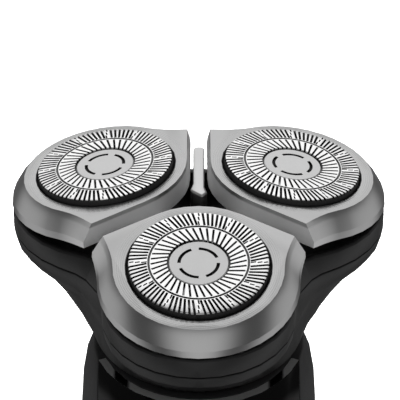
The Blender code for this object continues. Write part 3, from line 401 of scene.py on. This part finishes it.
SKINS = {
    "satin_petal_steel": skin("rib_steel", 0.62, 0.34, 1.0, 0.12, 0.006),
    "polished_guard_steel": skin("guard_inner_steel", 0.7, 0.25, 1.0, 0.12, 0.004),
    "blade_steel": skin("blade_steel_ground", 0.4, 0.35, 1.0, 0.1, 0.006),
    "dark_housing_plastic": skin("housing_black", (0.021, 0.021, 0.0215), 0.42, 0.0, 0.16, 0.008),
    "black_gloss_plastic": skin("piano_black", (0.002, 0.002, 0.0022), 0.07, 0.0, 0.9, 0.0006, 0.1),
    "dark_grey_matte_plastic": skin("soft_touch_grey", (0.04, 0.04, 0.0415), 0.55, 0.0, 0.13, 0.014),
    "magnet": skin("sintered_magnet", 0.05, 0.6, 0.2, 0.3, 0.02),
    "black_rubber": skin("grip_rubber", (0.013, 0.013, 0.0135), 0.72, 0.0, 0.22, 0.03, 0.25),
    "white_acetal": skin("natural_acetal", (0.7, 0.7, 0.67), 0.4, 0.0, 0.25, 0.006, 0.06),
    "grey_chassis_plastic": skin("moulded_grey", (0.2, 0.2, 0.21), 0.5, 0.0, 0.2, 0.01),
    "chrome": skin("bright_chrome", 0.72, 0.09, 1.0, 0.4, 0.001, 0.04),
    "brass": skin("turned_brass", (0.62, 0.44, 0.18), 0.28, 1.0, 0.12, 0.006),
    "copper_winding": skin("enamelled_copper", (0.6, 0.22, 0.09), 0.3, 1.0, 0.3, 0.02),
    "circuit_board_green": skin("solder_mask", (0.015, 0.15, 0.05), 0.38, 0.0, 0.5, 0.008),
    "battery_wrap": skin("cell_sleeve", (0.02, 0.11, 0.32), 0.32, 0.0, 0.6, 0.008),
    "smoked_lens": skin("smoked_lens_skin", (0.03, 0.045, 0.06), 0.08, 0.0, 0.8, 0.0006, 0.1, 1.0),
}
print("plain finishes:", len(SKINS))

# %% [markdown]
# Every frame node gets one of these finishes, chosen by the material slot it was packed with. The
# pieces that show their edges are replaced further on, and keep the same slot.

# %% Dress the frame nodes
slot_of = {}
for name, node in frame["nodes"].items():
    slot_of[name] = node.data.materials[0].name.split(".")[0]
    node.data.materials[0] = SKINS[slot_of[name]]
print("dressed nodes:", len(slot_of))

# %% [markdown]
# ## Eased copies
# A machined or moulded part never has a perfectly sharp edge: the small rounding along each edge is
# what catches the light. The frame's nodes are loose triangles with knife edges, and they may not be
# changed, so a visible part is copied, its triangles are joined, its flat faces are made whole again
# and every crease gets a narrow bevel. Sculpting or remeshing would lose the exact outlines.

# %% A copy with eased edges


def eased(node, name, width=0.12, segments=2, angle=28.0, finish=None, crisp=30.0):
    """A copy of a frame node with joined faces and bevelled edges; the width is in millimetres."""
    source = frame["nodes"][node]
    only(source)
    bpy.ops.object.duplicate()
    piece = bpy.context.active_object
    piece.name = name
    body = source["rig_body"]
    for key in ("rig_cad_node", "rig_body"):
        del piece[key]
    piece.parent = None
    bpy.ops.mesh.customdata_custom_splitnormals_clear()
    edit(piece)
    bpy.ops.mesh.remove_doubles(threshold=0.001 * MM)
    bpy.ops.mesh.dissolve_limited(angle_limit=math.radians(0.4))
    close()
    if width:
        apply(piece, "BEVEL", width=width * MM, segments=segments, angle_limit=math.radians(angle),
              use_clamp_overlap=True)
    smooth(piece, crisp)
    piece.data.materials.clear()
    piece.data.materials.append(finish or SKINS[slot_of[node]])
    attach(piece, body)
    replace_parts(piece, node)
    return piece


# %% [markdown]
# ## Petals, ribs and housing
# The petals carry the eye: a flat face, a long flank, a crease and a short rim. Their copies get a
# narrow bevel so that the crease and the rim read as fine bright lines. The ribs between them and the
# two housing parts get theirs in the same way.

# %% Ease the head
for side in SIDES:
    eased("petal_" + side, "petal_cover_" + side, 0.1, 2, 14.0, petal_steels[side], 14.0)
for valley in ("front_right", "rear", "front_left"):
    eased("rib_" + valley, "rib_bar_" + valley, 0.1, 2)
eased("head_frame", "head_frame_cover", 0.15, 2)
eased("head_base", "head_funnel", 0.2, 3)
print("head pieces eased")

# %% [markdown]
# ## Slotted guards
# A guard is a thin steel cap with two rings of fine slots, a groove between them and a satin disc in
# the middle. Painting the slots on would look flat from close by, so they are cut. The cap's profile is
# drawn point by point and spun into a closed shell, one unit of cutters is repeated around the axis by
# the spin operator, and a single boolean cuts them all. It is done once, and each petal gets a copy.

# %% Spin a profile


def lathe(name, profile, steps):
    """Draws a profile of radius and height in millimetres and spins it about Z into a closed skin."""
    bpy.ops.object.select_all(action="DESELECT")
    bpy.ops.mesh.primitive_plane_add(size=MM)
    piece = bpy.context.active_object
    piece.name = name
    bpy.ops.object.mode_set(mode="EDIT")
    bpy.ops.mesh.select_mode(type="VERT")
    bpy.ops.mesh.select_all(action="SELECT")
    bpy.ops.mesh.merge(type="CENTER")
    at = Vector((0.0, 0.0))
    for index, point in enumerate(profile):
        step = Vector(point) - at
        move = {"value": (step.x * MM, 0.0, step.y * MM)}
        if index == 0:
            bpy.ops.transform.translate(**move)
        else:
            bpy.ops.mesh.extrude_vertices_move(TRANSFORM_OT_translate=move)
        at = Vector(point)
    bpy.ops.mesh.select_all(action="SELECT")
    bpy.ops.mesh.spin(steps=steps, angle=math.tau, center=(0.0, 0.0, 0.0), axis=(0.0, 0.0, 1.0))
    bpy.ops.mesh.select_all(action="SELECT")
    bpy.ops.mesh.remove_doubles(threshold=0.002 * MM)
    bpy.ops.mesh.normals_make_consistent(inside=False)
    close()
    return piece


GUARD_RADIUS = 11.35
WALL = 0.8
UNDERSIDE = -0.74         # a hair above the cutters' blades, so that they never touch it
FOOT = -2.9
FOOT_TOP = FOOT + 0.6
FLANGE = 12.2
CAP_STEPS = 168
cap = lathe("guard_cap", [
    (0.0, -0.16), (4.7, -0.16), (4.84, -0.28), (4.84, -0.5), (5.06, -0.5), (5.06, -0.06), (5.12, 0.0),
    (7.84, 0.0), (7.84, -0.24), (8.22, -0.24), (8.22, 0.0), (11.0, 0.0), (11.22, -0.07), (11.35, -0.28),
    (GUARD_RADIUS, FOOT_TOP), (FLANGE, FOOT_TOP), (FLANGE, FOOT), (GUARD_RADIUS - WALL, FOOT),
    (GUARD_RADIUS - WALL, UNDERSIDE), (0.0, UNDERSIDE)], CAP_STEPS)
print("guard cap faces:", len(cap.data.polygons))

# %% [markdown]
# The outer ring has 84 slots and the inner ring 42, both slanted the same way. The floor of an outer slot
# rises towards the rim, as a grinding wheel leaves it. At every seventh place the outer slot is broken
# into three short ones. So the repeating unit of the outer ring is six long slots and three short ones,
# and that of the inner ring is one slot.

# %% One set of cutters
OUTER_SLOTS = 84
INNER_SLOTS = 42
UNIT = 7
SLOT_TOP = 0.2
OUTER_RING = (8.28, 11.7)
INNER_RING = (4.95, 7.75)
BROKEN = ((8.28, 9.2), (9.4, 10.2), (10.4, 11.1))
OUTER_WIDTH, BROKEN_WIDTH, INNER_WIDTH = 0.4, 0.26, 0.36
OUTER_SKEW, INNER_SKEW = math.radians(11.0), math.radians(17.0)
OUTER_FLOOR, RIM_LIFT = -1.0, 0.75


def add_slot(turn, inner, outer, width, skew, floor=-0.85, lift=0.0):
    """Adds a slot cutter in edit mode, slanted about its own middle, its floor lifted at the outer end."""
    middle = Matrix.Rotation(turn, 3, "Z") @ Vector(((inner + outer) / 2, 0.0, (SLOT_TOP + floor) / 2))
    bpy.ops.mesh.select_all(action="DESELECT")
    bpy.ops.mesh.primitive_cube_add(size=1.0, location=middle * MM, rotation=(0.0, 0.0, turn + skew),
                                    scale=((outer - inner) * MM, width * MM, (SLOT_TOP - floor) * MM))
    if lift:
        shape = bmesh.from_edit_mesh(bpy.context.active_object.data)
        reach = middle.xy.length * MM
        added = [vertex for vertex in shape.verts if vertex.select]
        bpy.ops.mesh.select_all(action="DESELECT")
        for vertex in added:
            if vertex.co.z < 0.0 and vertex.co.xy.length > reach:
                vertex.select_set(True)
        shape.select_flush_mode()
        bmesh.update_edit_mesh(bpy.context.active_object.data)
        bpy.ops.transform.translate(value=(0.0, 0.0, lift * MM))


def repeat(count):
    """Copies what is selected in edit mode evenly around Z."""
    bpy.ops.mesh.spin(steps=count - 1, dupli=True, angle=math.tau * (count - 1) / count,
                      center=(0.0, 0.0, 0.0), axis=(0.0, 0.0, 1.0))


def new_cutter(name):
    bpy.ops.object.select_all(action="DESELECT")
    bpy.ops.mesh.primitive_cube_add(size=MM)
    cutter = bpy.context.active_object
    cutter.name = name
    cutter.data.materials.append(slot_steel)
    bpy.ops.object.mode_set(mode="EDIT")
    bpy.ops.mesh.select_all(action="SELECT")
    bpy.ops.mesh.delete(type="VERT")
    return cutter


slots = new_cutter("slot_cutters")
for index in range(1, UNIT):
    turn = math.tau * index / OUTER_SLOTS
    add_slot(turn, *OUTER_RING, OUTER_WIDTH, OUTER_SKEW, OUTER_FLOOR, RIM_LIFT)
for inner, outer in BROKEN:
    add_slot(0.0, inner, outer, BROKEN_WIDTH, OUTER_SKEW)
bpy.ops.mesh.select_all(action="SELECT")
repeat(OUTER_SLOTS // UNIT)
add_slot(0.0, *INNER_RING, INNER_WIDTH, INNER_SKEW)
repeat(INNER_SLOTS)
close()
print("slot cutters:", len(slots.data.polygons), "faces")

# %% Four arc pockets in the disc
arcs = new_cutter("arc_cutters")
ARC_MIDDLE = (3.15 * MM, 0.0, -0.1 * MM)
ARC_DEPTH = 0.9 * MM
ARC_NARROWING = 0.6
ARC_SWEEP = math.radians(68.0)
ARC_COUNT = 4
bpy.ops.mesh.primitive_plane_add(size=ARC_DEPTH, location=ARC_MIDDLE, rotation=(math.pi / 2, 0.0, 0.0))
bpy.ops.transform.resize(value=(ARC_NARROWING, 1.0, 1.0), center_override=ARC_MIDDLE)
bpy.ops.mesh.spin(steps=14, angle=ARC_SWEEP, center=(0.0, 0.0, 0.0), axis=(0.0, 0.0, 1.0))
bpy.ops.mesh.select_all(action="SELECT")
repeat(ARC_COUNT)
bpy.ops.mesh.select_all(action="SELECT")
bpy.ops.mesh.normals_make_consistent(inside=False)
close()
print("arc cutters:", len(arcs.data.polygons), "faces")

# %% Cut the cap and copy it to each seat
cap.data.materials.append(guard_steels["front"])
for cutter in (slots, arcs):
    apply(cap, "BOOLEAN", object=cutter, operation="DIFFERENCE", solver="EXACT", material_mode="TRANSFER")
    bpy.data.objects.remove(cutter)
smooth(cap)
for side in SIDES:
    only(cap)
    bpy.ops.object.duplicate()
    guard = bpy.context.active_object
    guard.name = "slotted_guard_" + side
    guard.matrix_world = seats[side]
    bpy.ops.object.transform_apply(location=True, rotation=True, scale=True)
    guard.data.materials[0] = guard_steels[side]
    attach(guard, "petal_" + side)
    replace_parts(guard, "guard_" + side)
bpy.data.objects.remove(cap)
print("guard faces:", len(guard.data.polygons), [material.name for material in guard.data.materials])

# %% [markdown]
# ## Handle
# The handle is a soft-touch shell with a piano-black front let into it. Their shapes are right in the
# frame, so they are eased copies: a wider bevel on the moulded shell and a fine one on the hard front.

# %% Ease the handle
eased("handle_shell", "handle_body", 0.2, 3)
grip = eased("rear_grip", "rear_grip_pad", 0.25, 3)
eased("base_cap", "base_cover", 0.15, 3)
eased("power_button", "power_button_cap", 0.1, 3)
eased("button_ring", "button_trim_ring", 0.08, 3)
eased("indicator_lens", "indicator_window", 0.1, 3)
print("handle pieces eased")

# %% [markdown]
# The gloss front ends in a flat ledge below the head. Its top carries painted reflections: grey
# patches in the middle and at the sides, black between them. Every edge gets a painted highlight, a
# lighter grey line. The bevel modifier can give its new faces their own finish, so the line needs no
# drawing.

# %% Gloss front with painted reflections on its ledge and painted highlights on its edges


MIDDLE_PATCH = (11.2, 12.0)
SIDE_PATCH = (13.8, 14.4)
EDGE_WIDTH = 0.16
LEDGE_REFLECTION, EDGE_HIGHLIGHT = 1, 2


def painted_ledge_reflection():
    finish = Finish("ledge_painted_reflection")
    axis = finish.paint.node("SeparateXYZ", None, {"Vector": finish.place}, "X")
    across = axis.maths("ABSOLUTE", axis)
    # Painted reflection: the grey patches on the ledge stand in for reflections of the lights.
    satin = 1.0 - between(across, MIDDLE_PATCH) + between(across, SIDE_PATCH)
    grain = finish.noise(0.2 * MM)
    finish.feed("Base Color", finish.mix(satin * (0.94 + grain * 0.06), 0.003, 0.4))
    finish.feed("Roughness", 0.12 + satin * 0.25)
    finish.bump(grain, 0.003 * MM)
    return finish.material


panel = eased("front_panel", "front_gloss_panel", 0)
panel.data.materials.append(painted_ledge_reflection())
# Painted highlight: the bevel's faces are a lighter grey than the piano black.
panel.data.materials.append(skin("edge_painted_highlight", (0.16, 0.16, 0.162), 0.25, 0.0, 0.2, 0.002, 0.1))
edit(panel, lambda face: face.normal.dot(head_axis) > 0.9)
panel.active_material_index = LEDGE_REFLECTION
bpy.ops.object.material_slot_assign()
close()
apply(panel, "BEVEL", width=EDGE_WIDTH * MM, segments=2, angle_limit=math.radians(28.0), material=EDGE_HIGHLIGHT)
smooth(panel)
print("gloss front faces:", len(panel.data.polygons))

# %% [markdown]
# The rubber pad at the back carries raised ribs for the fingers. Each rib is a slice of the pad itself,
# swollen a little, so it follows the pad's curve exactly; a straight bar would dip in and out of it.

# %% Grip ribs
RIB_HEIGHT = 1.6
RIB_REACH = 10.0
RIB_SWELL = 0.35
RIB_LEVELS = [32.0 + 4.6 * index for index in range(12)]


def trim(point, normal):
    """Cuts away in edit mode what lies beyond a plane, and closes the cut."""
    bpy.ops.mesh.select_all(action="SELECT")
    bpy.ops.mesh.bisect(plane_co=Vector(point) * MM, plane_no=normal, use_fill=True, clear_outer=True)


def grip_rib(level):
    only(grip)
    bpy.ops.object.duplicate()
    rib = bpy.context.active_object
    edit(rib)
    trim((0.0, 0.0, level + RIB_HEIGHT / 2), (0.0, 0.0, 1.0))
    trim((0.0, 0.0, level - RIB_HEIGHT / 2), (0.0, 0.0, -1.0))
    trim((RIB_REACH, 0.0, 0.0), (1.0, 0.0, 0.0))
    trim((-RIB_REACH, 0.0, 0.0), (-1.0, 0.0, 0.0))
    bpy.ops.mesh.select_all(action="SELECT")
    bpy.ops.transform.shrink_fatten(value=RIB_SWELL * MM)
    close()
    return rib


ribs = only(*[grip_rib(level) for level in RIB_LEVELS])
bpy.ops.object.join()
ribs.name = "grip_ribs"
del ribs["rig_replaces"]
apply(ribs, "BEVEL", width=0.3 * MM, segments=2, angle_limit=math.radians(40.0))
smooth(ribs, 40.0)
low, high = [[round(value / MM, 2) for value in corner] for corner in (ribs.bound_box[0], ribs.bound_box[6])]
print("grip ribs:", len(ribs.data.polygons), "faces from", low, "to", high)

# %% [markdown]
# Two screws hold the base cover. Their heads carry a cross recess, cut by two crossed bars.

# %% Cross recess of the base screws
RECESS_LONG, RECESS_WIDE, RECESS_DEEP = 2.6, 0.55, 1.8
for side in ("left", "right"):
    screw = eased("base_screw_" + side, "base_screw_head_" + side, 0.1, 2)
    low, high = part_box("base_screw_" + side)
    middle = ((low.x + high.x) / 2, (low.y + high.y) / 2, low.z)
    for across, along_y in ((RECESS_LONG, RECESS_WIDE), (RECESS_WIDE, RECESS_LONG)):
        bpy.ops.object.select_all(action="DESELECT")
        bpy.ops.mesh.primitive_cube_add(size=MM, location=middle, scale=(across, along_y, RECESS_DEEP))
        bar = bpy.context.active_object
        apply(screw, "BOOLEAN", object=bar, operation="DIFFERENCE", solver="EXACT")
        bpy.data.objects.remove(bar)
    smooth(screw)
print("screw faces:", len(screw.data.polygons))

# %% [markdown]
# The button shows the common sign for on and off, a broken ring with a bar. A small square is spun into
# the ring, a bar joins it, and the inlay is stood upright, sunk into the button's face and eased.

# %% Power sign
MARK_RADIUS = 2.2
MARK_LINE = 0.42
MARK_SINK = 0.15
BAR_MIDDLE, BAR_LENGTH = 2.1, 2.0
START, SWEEP = math.radians(55.0), math.radians(290.0)
low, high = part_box("power_button")
face_middle = Vector(((low.x + high.x) / 2, low.y, (low.z + high.z) / 2))
start = Matrix.Rotation(START, 3, "Z") @ Vector((MARK_RADIUS, 0.0, 0.0))
bpy.ops.object.select_all(action="DESELECT")
bpy.ops.mesh.primitive_plane_add(size=MARK_LINE * MM, location=start * MM, rotation=(math.pi / 2, 0.0, START))
mark = bpy.context.active_object
mark.name = "power_sign"
bpy.ops.object.transform_apply(location=True, rotation=True, scale=True)
bpy.ops.object.mode_set(mode="EDIT")
bpy.ops.mesh.select_all(action="SELECT")
bpy.ops.mesh.spin(steps=36, angle=SWEEP, center=(0.0, 0.0, 0.0), axis=(0.0, 0.0, 1.0))
bpy.ops.mesh.primitive_cube_add(size=MM, location=(0.0, BAR_MIDDLE * MM, 0.0),
                                scale=(MARK_LINE, BAR_LENGTH, MARK_LINE))
bpy.ops.mesh.select_all(action="SELECT")
bpy.ops.mesh.normals_make_consistent(inside=False)
close()
upright = Matrix.Rotation(math.pi / 2, 4, "X")
sink = Matrix.Translation((0.0, 0.0, -MARK_SINK * MM))
mark.matrix_world = Matrix.Translation(face_middle) @ upright @ sink
only(mark)
bpy.ops.object.transform_apply(location=True, rotation=True, scale=True)
apply(mark, "BEVEL", width=0.05 * MM, segments=2, angle_limit=math.radians(50.0))
smooth(mark)
mark.data.materials.append(skin("sign_print", (0.6, 0.6, 0.6), 0.45, 0.0, 0.1, 0.004, 0.06))
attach(mark, "power_button")
print("power sign faces:", len(mark.data.polygons))

# %% [markdown]
# ## Studio
# The shaver stands on a plain pale floor. A soft light overhead whitens the polished bars, and two more
# wash the ground behind. Bare metal shows little but what stands around it, so the bands on the flanks
# come from the world: it glows in front and at both sides and stays dark in between.

# %% Floor
bpy.ops.object.select_all(action="DESELECT")
bpy.ops.mesh.primitive_plane_add(size=16.0, location=(0.0, 4.0, -0.0002))
floor = bpy.context.active_object
floor.name = "studio_floor"
pale = Finish("pale_floor", Roughness=0.9, Emission_Strength=0.3)
pale.shader.inputs["Emission Color"].default_value = colour(1.0)
pale.feed("Base Color", pale.mix(pale.noise(0.4), 0.88, 0.92))
floor.data.materials.append(pale.material)
floor.visible_glossy = False
floor.visible_diffuse = False

# %% World and lights
DARK = 0.09
FRONT_GLOW, SIDE_GLOW, REAR_GLOW, HIGH_GLOW, TOP_GLOW = 0.68, 0.55, 0.1, 0.25, 0.2
world = bpy.data.worlds.new("studio_world")
bpy.context.scene.world = world
world.use_nodes = True
sky = Signal(world.node_tree)
direction = sky.node("TexCoord", output="Generated")
way = [sky.node("SeparateXYZ", None, {"Vector": direction}, axis) for axis in "XYZ"]
height = way[2]
sideways = sky.maths("ABSOLUTE", way[0])
turn = sky.maths("ARCTAN2", sideways, way[1] * -1.0) * math.degrees(1.0)   # 0 in front, 180 behind
front = (1.0 - turn.step(14.0, 46.0)) * (1.0 - height.step(0.12, 0.4))
side = turn.step(62.0, 88.0) * (1.0 - turn.step(118.0, 142.0)) * (1.0 - height.step(0.35, 0.55))
rear = turn.step(135.0, 175.0)
high = height.step(0.3, 0.8) * turn.step(100.0, 150.0)
top = height.step(0.84, 0.96)
glow = DARK + front * FRONT_GLOW + side * SIDE_GLOW + rear * REAR_GLOW + high * HIGH_GLOW + top * TOP_GLOW
background = world.node_tree.nodes["Background"]
background.inputs["Color"].default_value = colour(1.0)
world.node_tree.links.new(glow.socket, background.inputs["Strength"])


def softbox(name, place, target, size, power):
    """A rectangular light that faces a point."""
    bpy.ops.object.light_add(type="AREA", location=place)
    light = bpy.context.active_object
    light.name = name
    light.data.shape = "RECTANGLE"
    light.data.size, light.data.size_y = size
    light.data.energy = power
    light.rotation_mode = "QUATERNION"
    light.rotation_quaternion = (Vector(target) - Vector(place)).to_track_quat("-Z", "Y")
    return light


HEAD = (0.0, -0.012, 0.149)
softbox("overhead", (0.0, 0.32, 1.1), HEAD, (1.5, 1.3), 3.9)
softbox("backdrop_near", (0.0, 0.9, 1.0), (0.0, 2.8, 0.0), (3.0, 1.0), 90.0)
softbox("backdrop_far", (0.0, 3.0, 1.5), (0.0, 6.0, 0.0), (4.0, 1.5), 260.0)

# %% [markdown]
# ## Camera
# A long lens a little above the head, looking slightly down, gives the close and nearly flat view that
# a product picture has.

# %% Camera
camera_data = bpy.data.cameras.new("camera")
camera = bpy.data.objects.new("camera", camera_data)
bpy.context.scene.collection.objects.link(camera)
LOOK_DOWN = math.radians(6.18)
camera.location = (0.0, -0.5181, 0.2030)
camera.rotation_euler = (math.pi / 2 - LOOK_DOWN, 0.0, 0.0)
camera_data.sensor_width = 36.0
camera_data.lens = 278.4
camera_data.shift_x = 0.00325
camera_data.clip_start = 0.01
bpy.context.scene.camera = camera
bpy.context.scene.view_settings.view_transform = "Standard"
